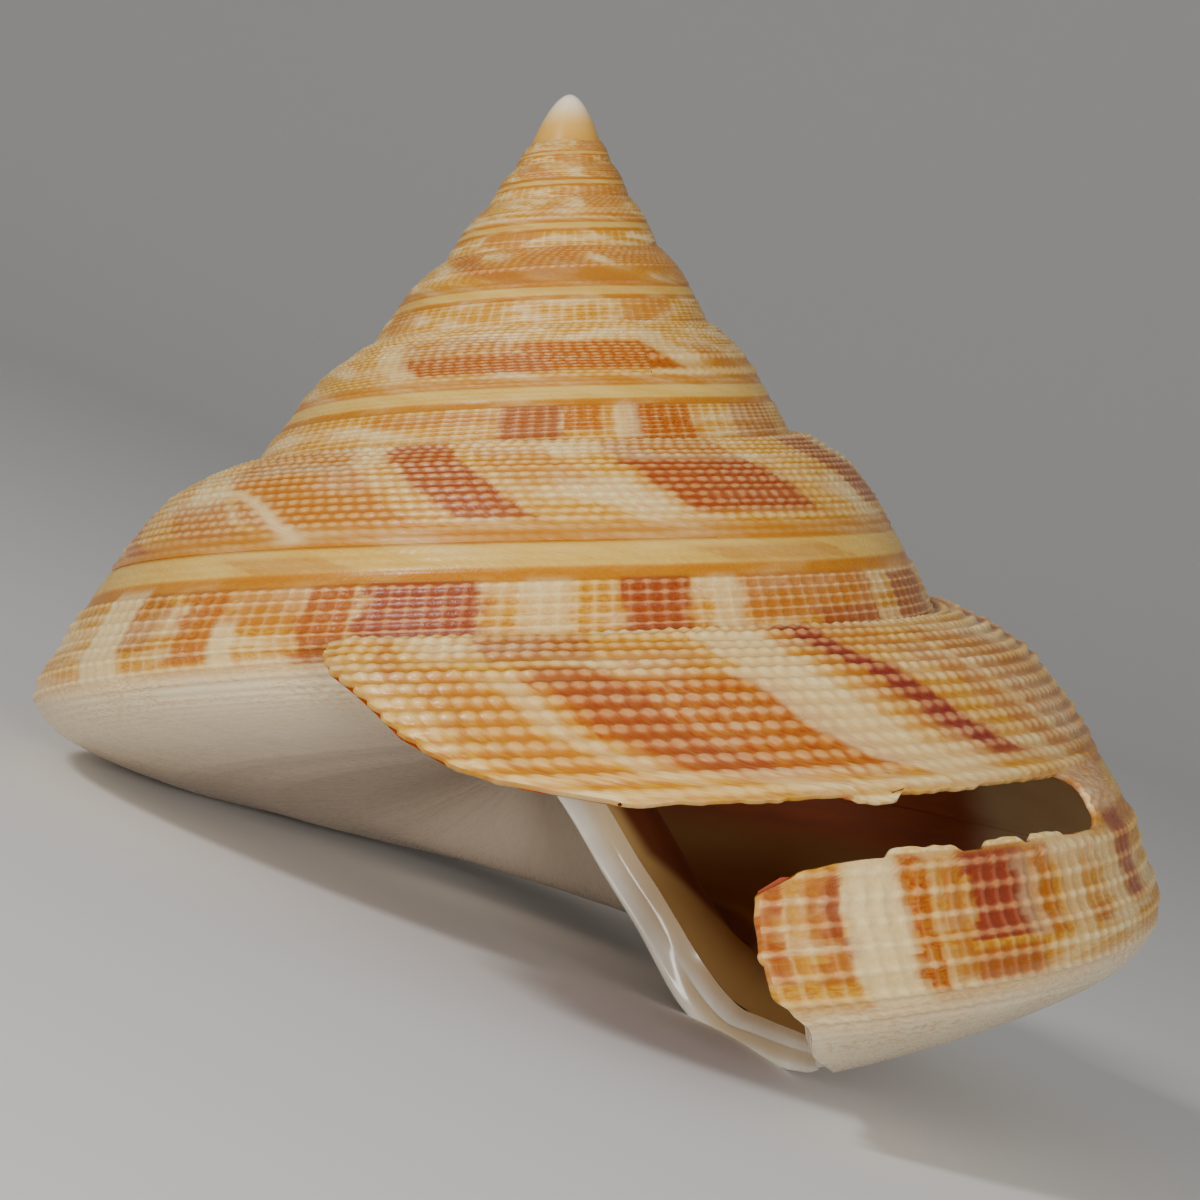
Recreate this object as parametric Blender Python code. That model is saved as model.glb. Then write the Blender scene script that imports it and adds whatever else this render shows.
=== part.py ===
"""Slit shell: a right-handed conical sea shell with an open slit in its last whorl.

Blender 4.5, metres, +Z up. The shell rests on its base with the apex up. Its surface is one
spiral sheet: each turn runs from suture to suture, the last one goes on round the keel, under
the base and in to the columella, and the hollow whorl behind the mouth has a real wall.
"""

import math

import bmesh
import bpy
import numpy as np
from mathutils import Matrix

MM = 0.001

# Growth of the suture line, at turn 0 near the mouth: radius and depth below the apex, in mm
SUTURE_RADIUS = 34.0
SUTURE_DEPTH = 43.6
RADIUS_PER_TURN = 1.622
DEPTH_PER_TURN = 1.5
RADIUS_DRIFT = 0.0007
DEPTH_DRIFT = 0.0034
TIP_RADIUS = 0.8
TIP_DEPTH = 0.45
TURNS = 6.8
START_ANGLE = -64.3

# Section of a whorl: place along it (0 suture, 1 next suture, 1.6 lowest ring, 2 centre),
# and how far it stands out and down there, as parts of the suture's radius
FACE_PLACE = (0.0, 0.15, 0.35, 0.52, 0.68, 0.85, 1.0)
FACE_OUT = (0.0, 0.0, 0.03, 0.10, 0.10, 0.075, 0.0)
FACE_DOWN = (0.0, -0.095, -0.14, -0.03, 0.015, 0.05, 0.0)
BASE_PLACE = (1.0, 1.15, 1.3, 1.45, 1.6)
BASE_OUT = (0.0, -0.015, -0.07, -0.26, -0.58)
BASE_DOWN = (0.0, 0.07, 0.16, 0.27, 0.38)
RING_PLACE = 1.6
CENTRE_DEPTH = 55.0
EARLY_CENTRE = 1.6
EARLY_CORE = 0.14

# The oldest whorls have flatter faces. The last one has a fuller keel at first, then a weaker one
OLD_FLATTER = 0.42
KEEL_PLACE = (0.68, 0.85, 1.0, 1.15, 1.3, 1.6)
KEEL_LESS = (0.0, 0.030, 0.022, 0.008, 0.0, 0.0)
KEEL_MORE = (0.0, 0.0, 0.025, 0.055, 0.045, 0.0)
RIM_LESS = (0.0, 0.0, 0.0, 0.005, 0.016, 0.018)

# Slit
SLIT_TOP = 0.54
SLIT_BOTTOM = 0.68
SLIT_END_COLUMN = 7

# Lip line: how far round the growing edge reaches, in turns, at each place of the section
LIP_PLACE = (
    0.0, 0.2, 0.3, 0.4, 0.47, 0.54, 0.68, 0.74, 0.9,
    1.15, 1.3, 1.4, 1.6, 1.7, 1.8, 1.86, 1.91, 1.96, 2.0,
)
LIP_TURN = (
    0.135, 0.130, 0.123, 0.107, 0.088, 0.05, 0.012, 0.021,
    0.021, 0.018, 0.008, 0.0, -0.045, -0.064, -0.083, -0.076, -0.056, -0.042, -0.036,
)
LIP_TOP = 0.135
LIP_STRETCH_FROM = -0.3

# Wall and hollow, in mm and turns
WALL = 1.7
LIP_WALL = 1.1
CORE_RADIUS = 4.5
CORE_DEPTH = 38.3
CORE_DROP_PER_TURN = 12.2
POLE_FROM = -1.4
POLE_FULL = -0.9
HOLLOW_TURNS = 1.8

# Mesh
COLUMNS_PER_TURN = 40
FACE_ROWS = (0.0, 0.1, 0.22, 0.35, 0.45, SLIT_TOP, SLIT_BOTTOM, 0.78, 0.89, 1.0)
BASE_ROWS = (1.0, 1.15, 1.3, 1.45, 1.6, 1.72, 1.8, 1.87, 1.94, 2.0)
CORNER_ROW = 1
TIP_RINGS = 3
TIP_BLUNT = 0.7

# Resting pose
LEAN_ABOUT_X = -3.0
LEAN_ABOUT_Y = -17.3


def smooth_step(x):
    x = np.clip(x, 0.0, 1.0)
    return x * x * (3.0 - 2.0 * x)


def smooth_curve(x, places, values):
    """Smooth curve through the given values, as cubic pieces that never overshoot them."""
    places, values = np.asarray(places, float), np.asarray(values, float)
    step = np.diff(places)
    slope = np.diff(values) / step
    tangent = np.zeros(len(places))
    same = slope[1:] * slope[:-1] > 0.0
    both = np.where(same, slope[1:] * slope[:-1], 0.0)
    total = np.where(same, slope[1:] + slope[:-1], 1.0)
    tangent[1:-1] = 2.0 * both / total
    tangent[0], tangent[-1] = slope[0], slope[-1]
    x = np.clip(x, places[0], places[-1])
    i = np.clip(np.searchsorted(places, x, side="right") - 1, 0, len(step) - 1)
    t = (x - places[i]) / step[i]
    return (
        values[i] * (1.0 + 2.0 * t) * (1.0 - t) ** 2
        + tangent[i] * step[i] * t * (1.0 - t) ** 2
        + values[i + 1] * t * t * (3.0 - 2.0 * t)
        + tangent[i + 1] * step[i] * t * t * (t - 1.0)
    )


def suture(turn):
    """Radius and depth of the suture line, in mm."""
    grown = np.exp(math.log(RADIUS_PER_TURN) * turn + RADIUS_DRIFT * turn**2)
    sunk = np.exp(math.log(DEPTH_PER_TURN) * turn + DEPTH_DRIFT * turn**2)
    young = 1.0 - smooth_step((turn + 6.0) / 5.0)
    return SUTURE_RADIUS * grown + TIP_RADIUS * young, SUTURE_DEPTH * sunk


def outer_section(turn, place):
    """Radius and depth of the outer surface, in mm."""
    r0, z0 = suture(turn)
    r1, z1 = suture(turn + 1.0)
    face, base = np.clip(place, 0.0, 1.0), np.clip(place, 1.0, RING_PLACE)
    r = r0 + (r1 - r0) * face
    z = z0 + (z1 - z0) * face
    flat = 1.0 - OLD_FLATTER * smooth_step((-1.15 - turn) / 0.6)
    r = r + r0 * (flat * smooth_curve(face, FACE_PLACE, FACE_OUT) + smooth_curve(base, BASE_PLACE, BASE_OUT))
    z = z + r0 * (flat * smooth_curve(face, FACE_PLACE, FACE_DOWN) + smooth_curve(base, BASE_PLACE, BASE_DOWN))
    near = np.minimum(place, RING_PLACE)
    late = smooth_step((turn + 0.45) / 0.3)
    fuller = smooth_step((turn + 0.865) / 0.18) * smooth_step((-0.3 - turn) / 0.3)
    less, more = smooth_curve(near, KEEL_PLACE, KEEL_LESS), smooth_curve(near, KEEL_PLACE, KEEL_MORE)
    r = r + r0 * (fuller * more - late * less)
    z = z + r0 * (fuller * 0.6 * more - smooth_step((turn + 0.3) / 0.25) * smooth_curve(near, KEEL_PLACE, RIM_LESS))
    # From the lowest ring in to the centre. The open base of the last turn meets at one point.
    inward = np.clip((place - RING_PLACE) / (2.0 - RING_PLACE), 0.0, 1.0)
    pole = smooth_step((turn - POLE_FROM) / (POLE_FULL - POLE_FROM))
    centre_r = (1.0 - pole) * EARLY_CORE * r0
    centre_z = pole * CENTRE_DEPTH + (1.0 - pole) * EARLY_CENTRE * z0
    climb = smooth_step((inward - 0.4) / 0.6)
    return r + (centre_r - r) * inward, z + (centre_z - z) * climb


def placed(turn, r, z):
    """Points at a turn's angle round the axis, apex at the origin, in mm."""
    angle = math.radians(START_ANGLE) - 2.0 * math.pi * turn
    return np.stack([r * np.cos(angle), r * np.sin(angle), -z], axis=-1)


def outer(turn, place):
    turn, place = np.broadcast_arrays(np.asarray(turn, float), np.asarray(place, float))
    return placed(turn, *outer_section(turn, place))


def outward(turn, place):
    """Unit normal of the outer surface, from small steps along it."""
    along = outer(turn + 0.002, place) - outer(turn - 0.002, place)
    across = outer(turn, np.minimum(place + 0.004, 1.99)) - outer(turn, place - 0.004)
    normal = np.cross(along, across)
    return normal / np.maximum(np.linalg.norm(normal, axis=-1, keepdims=True), 1e-9)


def inner(turn, place):
    """Inside of the wall: the outer surface moved in by the wall, closed at both of its ends."""
    turn, place = np.broadcast_arrays(np.asarray(turn, float), np.asarray(place, float))
    grown = np.exp(math.log(DEPTH_PER_TURN) * np.minimum(turn, 0.0))
    near_lip = smooth_step((turn - lip_turn(place) + 0.08) / 0.08)
    wall = (WALL + (LIP_WALL - WALL) * near_lip * (place < 1.5)) * grown
    moved = outer(turn, place) - outward(turn, place) * wall[..., None]
    # Near the suture it runs into the corner on the whorl before.
    corner = outer(turn - 1.0, BASE_ROWS[CORNER_ROW])
    near = smooth_step(place / FACE_ROWS[1])[..., None]
    moved = corner + (moved - corner) * near
    # From the lowest ring it runs in to the core that the whorls wind round.
    r0, z0 = outer_section(turn, RING_PLACE)
    inward = np.clip((place - RING_PLACE) / (2.0 - RING_PLACE), 0.0, 1.0)
    core_r = CORE_RADIUS * np.exp(math.log(RADIUS_PER_TURN) * turn)
    late = CORE_DEPTH + CORE_DROP_PER_TURN * (turn - POLE_FROM)
    early = CORE_DEPTH * np.exp(math.log(DEPTH_PER_TURN) * (turn - POLE_FROM))
    core_z = np.where(turn > POLE_FROM, late, early)
    top = z0 - wall
    climb = smooth_step((inward - 0.4) / 0.6)
    under = placed(turn, r0 + (core_r - r0) * inward, top + (core_z - top) * climb)
    return np.where((place > RING_PLACE)[..., None], under, moved)


def lip_turn(place):
    return smooth_curve(place, LIP_PLACE, LIP_TURN)


def stretched(turn, place):
    """Near the mouth the columns are drawn out or in, so that the last one is the lip line."""
    reach = (lip_turn(place) - LIP_STRETCH_FROM) / (LIP_TOP - LIP_STRETCH_FROM)
    return np.where(turn > LIP_STRETCH_FROM, LIP_STRETCH_FROM + (turn - LIP_STRETCH_FROM) * reach, turn)


class Sheet:
    """Collects the shell's grids of points and their faces."""

    def __init__(self):
        self.mesh = bmesh.new()

    def points(self, array):
        return [[self.mesh.verts.new(p) for p in row] for row in np.asarray(array) * MM]

    def faces(self, grid, keep=None):
        for j in range(len(grid) - 1):
            for i in range(len(grid[j]) - 1):
                if keep is None or keep(j, i):
                    self.mesh.faces.new((grid[j][i], grid[j][i + 1], grid[j + 1][i + 1], grid[j + 1][i]))

    def bridge(self, pairs):
        """A strip of faces along a list of (outer point, inner point)."""
        for (a, b), (c, d) in zip(pairs, pairs[1:]):
            self.mesh.faces.new((a, b, d, c))

    def fan(self, ring, tip):
        for a, b in zip(ring, ring[1:] + ring[:1]):
            self.mesh.faces.new((a, b, tip))


def build_shell():
    sheet = Sheet()
    step = 1.0 / COLUMNS_PER_TURN
    turns = LIP_TOP - step * np.arange(int(TURNS * COLUMNS_PER_TURN), -1, -1)
    face_rows, base_rows = np.array(FACE_ROWS), np.array(BASE_ROWS)
    last = len(turns) - 1
    open_from = last - COLUMNS_PER_TURN
    slit_from = last - SLIT_END_COLUMN
    slit_row = FACE_ROWS.index(SLIT_TOP)
    hollow_from = last - int(HOLLOW_TURNS * COLUMNS_PER_TURN)

    # Outer face of every whorl, with the slit left open
    turn, place = np.meshgrid(turns, face_rows, indexing="ij")
    turn = stretched(turn, place)
    face_out = sheet.points(outer(turn, place))
    face_in = sheet.points(inner(turn[hollow_from:], place[hollow_from:]))
    sheet.faces(face_out, lambda j, i: not (i == slit_row and j >= slit_from))
    sheet.faces(face_in, lambda j, i: not (i == slit_row and j + hollow_from >= slit_from))

    # Base: open on the last turn, and the wall between whorls behind it
    turn, place = np.meshgrid(turns, base_rows, indexing="ij")
    turn = stretched(turn, place)
    before = hollow_from - COLUMNS_PER_TURN
    base_out = sheet.points(outer(turn[before:], place[before:]))
    base_in = sheet.points(inner(turn[hollow_from:], place[hollow_from:]))
    sheet.faces(base_out, lambda j, i: i >= CORNER_ROW or j + before >= open_from)
    sheet.faces(base_in)

    # Core of the hollow, between the base's inner edge and the whorl before
    core = [[base_in[j][-1], base_out[j][-1]] for j in range(len(base_in))]
    sheet.faces(core)

    # Lip, and the edges of the slit
    edge_out, edge_in = face_out[-1] + base_out[-1][1:], face_in[-1] + base_in[-1][1:]
    rim = list(zip(edge_out, edge_in))
    sheet.bridge(rim[: slit_row + 1])
    sheet.bridge(rim[slit_row + 1 :])
    top = [(face_out[j][slit_row], face_in[j - hollow_from][slit_row]) for j in range(last, slit_from - 1, -1)]
    bottom = [
        (face_out[j][slit_row + 1], face_in[j - hollow_from][slit_row + 1]) for j in range(slit_from, last + 1)
    ]
    sheet.bridge(top + bottom)

    # Blind end of the hollow
    section = face_in[0] + base_in[0][1:] + base_out[0][:CORNER_ROW - 1:-1]
    middle = np.mean([v.co for v in section], axis=0)
    sheet.fan(section, sheet.mesh.verts.new(middle))

    # Rounded tip over the first turn
    ring = face_out[0][::-1] + [face_out[j][0] for j in range(1, COLUMNS_PER_TURN)]
    foot = [v.co.copy() for v in ring]
    top = -TIP_DEPTH * MM
    for k in range(1, TIP_RINGS + 1):
        high = k / (TIP_RINGS + 1)
        wide = (1.0 - high) ** TIP_BLUNT
        raised = [sheet.mesh.verts.new((p.x * wide, p.y * wide, top + (p.z - top) * (1.0 - high))) for p in foot]
        sheet.bridge(list(zip(ring + ring[:1], raised + raised[:1])))
        ring = raised
    sheet.fan(ring, sheet.mesh.verts.new((0.0, 0.0, top)))
    return sheet.mesh


def finish(mesh):
    """Welds the seams that the grids share, turns the shell to its resting pose and adds it to the scene."""
    bmesh.ops.remove_doubles(mesh, verts=mesh.verts, dist=1e-6)
    bmesh.ops.recalc_face_normals(mesh, faces=mesh.faces)
    lean = Matrix.Rotation(math.radians(LEAN_ABOUT_Y), 4, "Y") @ Matrix.Rotation(math.radians(LEAN_ABOUT_X), 4, "X")
    bmesh.ops.transform(mesh, matrix=lean, verts=mesh.verts)
    low = [min(v.co[k] for v in mesh.verts) for k in range(3)]
    high = [max(v.co[k] for v in mesh.verts) for k in range(3)]
    middle = (-(low[0] + high[0]) / 2, -(low[1] + high[1]) / 2, -low[2])
    bmesh.ops.translate(mesh, vec=middle, verts=mesh.verts)
    for face in mesh.faces:
        face.smooth = True
    data = bpy.data.meshes.new("shell")
    mesh.to_mesh(data)
    mesh.free()
    data.set_sharp_from_angle(angle=math.radians(50))
    obj = bpy.data.objects.new("shell", data)
    parts = bpy.data.collections.new("slit shell")
    bpy.context.scene.collection.children.link(parts)
    parts.objects.link(obj)
    return obj


def shell_material():
    material = bpy.data.materials.new("shell")
    material.use_nodes = True
    shader = material.node_tree.nodes["Principled BSDF"]
    shader.inputs["Base Color"].default_value = (0.80, 0.52, 0.27, 1.0)
    shader.inputs["Roughness"].default_value = 0.35
    shader.inputs["Metallic"].default_value = 0.0
    return material


for old in list(bpy.data.objects):
    bpy.data.objects.remove(old, do_unlink=True)
shell = finish(build_shell())
shell.data.materials.append(shell_material())
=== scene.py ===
"""Slit shell, dressed: the same spiral surface as the solid, with its beaded cords, band, lip and colours."""

import math

import bpy
import numpy as np
from mathutils import Matrix, Vector


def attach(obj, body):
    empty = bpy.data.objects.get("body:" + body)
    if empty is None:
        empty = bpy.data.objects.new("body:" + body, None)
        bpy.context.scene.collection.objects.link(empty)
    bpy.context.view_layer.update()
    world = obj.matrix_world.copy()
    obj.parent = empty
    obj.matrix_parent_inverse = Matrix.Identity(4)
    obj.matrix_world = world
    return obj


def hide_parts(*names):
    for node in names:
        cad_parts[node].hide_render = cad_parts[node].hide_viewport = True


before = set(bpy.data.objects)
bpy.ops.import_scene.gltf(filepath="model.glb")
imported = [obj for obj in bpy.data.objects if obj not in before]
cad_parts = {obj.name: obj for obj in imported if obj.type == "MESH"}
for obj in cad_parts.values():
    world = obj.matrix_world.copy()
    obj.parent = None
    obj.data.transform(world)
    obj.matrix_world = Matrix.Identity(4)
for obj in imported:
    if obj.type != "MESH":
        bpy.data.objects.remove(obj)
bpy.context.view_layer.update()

MM = 0.001

# Growth of the suture line, as in the solid: radius and depth below the apex, in mm
SUTURE_RADIUS = 34.0
SUTURE_DEPTH = 43.6
RADIUS_PER_TURN = 1.622
DEPTH_PER_TURN = 1.5
RADIUS_DRIFT = 0.0007
DEPTH_DRIFT = 0.0034
TIP_RADIUS = 0.8
TIP_DEPTH = 0.45
TIP_BLUNT = 0.55
TIP_SPACING = 1.5
TURNS = 6.8
START_ANGLE = -64.3

# Section of a whorl: 0 suture, 1 next suture, 1.6 lowest ring, 2 centre
FACE_PLACE = (0.0, 0.15, 0.35, 0.52, 0.68, 0.85, 1.0)
FACE_OUT = (0.0, 0.0, 0.03, 0.10, 0.10, 0.075, 0.0)
FACE_DOWN = (0.0, -0.095, -0.14, -0.03, 0.015, 0.05, 0.0)
BASE_PLACE = (1.0, 1.15, 1.3, 1.45, 1.6)
BASE_OUT = (0.0, -0.015, -0.07, -0.26, -0.58)
BASE_DOWN = (0.0, 0.07, 0.16, 0.27, 0.38)
RING_PLACE = 1.6
CENTRE_DEPTH = 55.0
EARLY_CENTRE = 1.6
EARLY_CORE = 0.14

# The oldest whorls have flatter faces. The last one has a fuller keel at first, then a weaker one
OLD_FLATTER = 0.42
KEEL_PLACE = (0.68, 0.85, 1.0, 1.15, 1.3, 1.6)
KEEL_LESS = (0.0, 0.030, 0.022, 0.008, 0.0, 0.0)
KEEL_MORE = (0.0, 0.0, 0.025, 0.055, 0.045, 0.0)
RIM_LESS = (0.0, 0.0, 0.0, 0.005, 0.016, 0.018)

# Slit, lip line and wall
SLIT_TOP = 0.54
SLIT_BOTTOM = 0.68
SLIT_END = -0.103
LIP_PLACE = (
    0.0, 0.2, 0.3, 0.4, 0.47, 0.54, 0.68, 0.74, 0.9,
    1.15, 1.3, 1.4, 1.6, 1.7, 1.8, 1.86, 1.91, 1.96, 2.0,
)
LIP_TURN = (
    0.135, 0.130, 0.123, 0.107, 0.088, 0.05, 0.012, 0.021,
    0.021, 0.018, 0.008, 0.0, -0.045, -0.064, -0.083, -0.076, -0.056, -0.042, -0.036,
)
LIP_TOP = 0.135
STRETCH_FROM = -0.3
WALL = 1.7
EDGE_WALL = 0.6
COLUMELLA_WALL = 2.5
CORNER_PLACE = 1.15
CORE_RADIUS = 4.5
CORE_DEPTH = 38.3
CORE_DROP_PER_TURN = 12.2
POLE_FROM = -1.4
POLE_FULL = -0.9
HOLLOW_TURNS = 1.8

# Place that parts the face's pieces from the base's, and the turn whose section the cords are spaced on
KEEL_LINE = 1.2
SECTION_TURN = -0.05

# Resting pose: the shell's own axis leans, and its apex is at this place in the row frame, in mm
LEAN_ABOUT_X = -3.0
LEAN_ABOUT_Y = -17.3
APEX_AT = (-21.461, 6.687, 65.942)

# Cords above and below the band: spacing as a share of the suture's radius, and how that grows per
# turn; beads along them in turns
UPPER_CORD = 0.0385
UPPER_GROWTH = 0.155
LOWER_CORD = 0.0532
LOWER_GROWTH = 0.38
BEAD = 0.0050
BEAD_GROWTH = 0.30

# Spacing of the base's threads as a share of the same radius
THREAD = 0.028

# Relief, in mm
CORD_HEIGHT = 0.36
LOWER_HEIGHT = 0.24
THREAD_HEIGHT = 0.09
SCAR_HEIGHT = 0.16
BAND_DEPTH = 0.10
BAND_LINES = 0.05
ROUGH_END = 0.30
GROWTH_LINES = (0.06, 0.05)

# Rows across each piece, and its columns along the growth. A wall has LIP_COLUMNS more near the lip
ABOVE_GRID = (94, 560)
BELOW_GRID = (72, 560)
BASE_GRID = (130, 200)
PENULTIMATE_GRID = (140, 600)
SPIRE_GRID = (80, 1120)
BAND_GRID = (30, 700)
ROOF_GRID = (36, 300)
LIP_COLUMNS = 401
TIP_RINGS = 17

# Chips of the slit's edges: turn from and to, and how far each reaches into the slit
LOWER_CHIPS = (
    (-0.0335, -0.0125, 0.020), (-0.0565, -0.0425, 0.020),
    (-0.0750, -0.0610, 0.017), (-0.1100, -0.0750, 0.004),
)
UPPER_CHIPS = ((-0.0215, -0.0085, 0.015), (-0.0500, -0.0400, 0.004))

# Old crescent scar on the turn before the last: growth and place of its middle, and its size in both
SCAR = (-0.746, 0.455, 0.026, 0.070)

# Camera of the photo: its way from the apex and its lens in mm, its tilt and roll in radians
CAMERA_BACK = 325.6
CAMERA_RIGHT = 2.37
CAMERA_UP = -41.6
CAMERA_TILT = -0.010
CAMERA_ROLL = 0.054
LENS = 120.0

# Lamps: place from the shell's middle along the camera's right, up and ahead, width, all in m, and W
LAMPS = (
    ("key", (-0.25, 0.42, -0.36), 0.10, 1.62),
    ("front", (0.13, -0.012, -0.50), 0.10, 1.05),
    ("fill", (0.42, 0.12, -0.42), 0.30, 0.30),
)
LOW_LAMP = ((-0.22, -0.50, 0.05), 0.16, 0.95)
SHELL_MIDDLE = 0.03
WORLD_LIGHT = 0.34

# Floor, in m: half its width, its front edge, how far behind the shell it starts to curve up, the
# curve's radius, and its top
FLOOR_HALF = 5.0
FLOOR_FRONT = -4.0
FLOOR_TOP = 5.0
FLOOR_BEND = 0.9
FLOOR_RADIUS = 0.8

# Columns of noise to a turn for the flames of the far side
FREE_FLAMES = 11.0

# Flames and blocks of colour: growth at the suture in turns, half width, place from and to,
# strength of orange and of red
FLAMES = (
    (0.110, 0.006, 0.30, 0.50, 0.55, 0.0),
    (0.120, 0.003, 0.15, 0.50, 0.40, 0.2),
    (0.077, 0.016, 0.14, 0.27, 0.35, 0.55),
    (0.059, 0.032, 0.34, 0.50, 0.95, 0.15),
    (0.077, 0.010, 0.30, 0.50, 0.80, 0.55),
    (0.045, 0.014, 0.20, 0.36, 0.50, 0.0),
    (-0.0145, 0.007, 0.08, 0.49, 0.80, 1.0),
    (-0.012, 0.012, 0.10, 0.50, 0.60, 0.1),
    (-0.030, 0.016, 0.10, 0.26, 0.55, 0.0),
    (-0.047, 0.008, 0.22, 0.50, 0.60, 0.1),
    (-0.068, 0.006, 0.16, 0.50, 0.35, 0.3),
    (-0.090, 0.014, 0.20, 0.54, 0.40, 0.2),
    (-0.150, 0.010, 0.10, 0.52, 0.50, 0.7),
    (0.1330, 0.003, 0.68, 1.10, 0.9, 0.3),
    (0.1190, 0.005, 0.70, 1.12, 0.75, 0.1),
    (0.1165, 0.002, 0.70, 1.00, 0.60, 0.7),
    (0.0955, 0.0036, 0.67, 1.20, 1.0, 0.0),
    (0.0860, 0.003, 0.70, 1.15, 0.55, 0.2),
    (0.0700, 0.0115, 0.68, 0.97, 0.9, 0.9),
    (0.0720, 0.0110, 1.02, 1.18, 0.8, 0.4),
    (0.0540, 0.005, 0.68, 1.00, 0.8, 0.1),
    (0.0380, 0.010, 0.70, 0.95, 0.30, 0.0),
    (0.0300, 0.004, 0.86, 1.00, 0.6, 0.2),
    (0.0020, 0.007, 0.64, 0.90, 0.5, 0.7),
    (-0.060, 0.012, 0.62, 1.05, 0.7, 0.3),
    (-0.660, 0.012, 0.20, 0.52, 0.4, 0.5),
    (-0.730, 0.020, 0.41, 0.50, 0.65, 0.1),
    (-0.793, 0.036, 0.33, 0.49, 0.65, 0.1),
    (-0.793, 0.036, 0.12, 0.33, 0.15, 0.4),
    (-0.862, 0.015, 0.10, 0.48, 0.9, 0.6),
    (-0.905, 0.018, 0.20, 0.40, 0.45, 0.0),
    (-0.984, 0.036, 0.30, 0.47, 1.0, 0.6),
    (-0.984, 0.034, 0.12, 0.30, 0.3, 0.4),
    (-1.098, 0.022, 0.12, 0.46, 0.5, 0.7),
    (-0.6925, 0.009, 0.68, 1.08, 0.85, 0.0),
    (-0.719, 0.014, 0.68, 0.84, 0.55, 0.0),
    (-0.743, 0.010, 0.68, 1.12, 0.9, 0.3),
    (-0.7755, 0.020, 0.68, 1.05, 0.8, 0.8),
    (-0.857, 0.012, 0.68, 1.05, 1.0, 0.6),
    (-0.927, 0.036, 0.68, 0.87, 0.7, 0.1),
    (-0.943, 0.018, 0.82, 1.05, 0.7, 0.6),
    (-1.000, 0.020, 0.70, 1.05, 0.3, 0.6),
    (-0.663, 0.012, 0.68, 0.95, 0.2, 0.4),
    (-0.724, 0.022, 0.57, 0.64, 0.45, 0.0),
    (-0.924, 0.034, 0.57, 0.63, 0.45, 0.0),
    (-1.840, 0.050, 0.37, 0.47, 0.95, 0.3),
    (-1.840, 0.045, 0.18, 0.37, 0.15, 0.35),
    (-1.939, 0.052, 0.27, 0.46, 1.0, 0.1),
    (-2.049, 0.020, 0.30, 0.46, 0.5, 0.0),
    (-1.744, 0.038, 0.71, 0.79, 0.6, 0.0),
    (-1.804, 0.017, 0.68, 0.96, 0.6, 0.6),
    (-1.8366, 0.011, 0.68, 0.86, 0.9, 0.0),
    (-1.887, 0.022, 0.68, 1.00, 1.0, 0.1),
    (-1.970, 0.027, 0.68, 1.00, 0.2, 0.4),
)

# Pale stripes along the growth lines: growth, half width, place from and to, strength
PALE_STRIPES = (
    (0.1075, 0.0080, 0.67, 1.25, 1.0),
    (0.0980, 0.0030, 0.34, 0.52, 0.5),
    (0.0600, 0.0040, 0.70, 1.00, 0.4),
    (0.0400, 0.0050, 0.68, 1.10, 0.5),
    (0.0220, 0.0120, 0.32, 0.54, 0.72),
    (0.0150, 0.0110, 0.12, 0.34, 0.70),
    (0.0150, 0.0060, 0.68, 1.10, 0.5),
    (-0.6450, 0.0120, 0.66, 1.15, 0.9),
    (-0.7060, 0.0050, 0.80, 1.12, 0.9),
    (-0.7300, 0.0080, 0.28, 0.40, 0.8),
    (-0.8180, 0.0090, 0.68, 1.00, 0.6),
    (-0.8850, 0.0060, 0.68, 0.95, 0.6),
    (-0.9300, 0.0070, 0.14, 0.28, 0.7),
    (-1.7800, 0.0120, 0.20, 0.46, 0.5),
    (-1.8620, 0.0080, 0.68, 0.95, 0.6),
    (-2.0060, 0.0140, 0.15, 0.45, 0.5),
)


def smooth_step(x):
    """0 up to x = 0, then the cubic 3x2 - 2x3, and 1 from x = 1 on."""
    x = np.clip(x, 0.0, 1.0)
    return x * x * (3.0 - 2.0 * x)


def smooth_curve(x, places, values):
    """Smooth curve through the given values, as cubic pieces that never overshoot them."""
    places, values = np.asarray(places, float), np.asarray(values, float)
    step = np.diff(places)
    slope = np.diff(values) / step
    tangent = np.zeros(len(places))
    same = slope[1:] * slope[:-1] > 0.0
    both = np.where(same, slope[1:] * slope[:-1], 0.0)
    total = np.where(same, slope[1:] + slope[:-1], 1.0)
    tangent[1:-1] = 2.0 * both / total
    tangent[0], tangent[-1] = slope[0], slope[-1]
    x = np.clip(x, places[0], places[-1])
    i = np.clip(np.searchsorted(places, x, side="right") - 1, 0, len(step) - 1)
    t = (x - places[i]) / step[i]
    return (
        values[i] * (1.0 + 2.0 * t) * (1.0 - t) ** 2
        + tangent[i] * step[i] * t * (1.0 - t) ** 2
        + values[i + 1] * t * t * (3.0 - 2.0 * t)
        + tangent[i + 1] * step[i] * t * t * (t - 1.0)
    )


def noise(x, y, seed=0.0):
    """Smooth value noise from 0 to 1 over a plane, one cell per unit."""
    x, y = np.broadcast_arrays(np.asarray(x, float), np.asarray(y, float))
    i, j = np.floor(x), np.floor(y)
    u, v = smooth_step(x - i), smooth_step(y - j)

    def corner(a, b):
        raw = np.sin(a * 127.1 + b * 311.7 + seed * 74.7) * 43758.5453
        return raw - np.floor(raw)

    low = corner(i, j) * (1 - u) + corner(i + 1, j) * u
    high = corner(i, j + 1) * (1 - u) + corner(i + 1, j + 1) * u
    return low * (1 - v) + high * v


def window(x, low, high, soft):
    """1 between two values and 0 outside them, with soft edges."""
    return smooth_step((x - low) / soft + 0.5) * smooth_step((high - x) / soft + 0.5)


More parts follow.
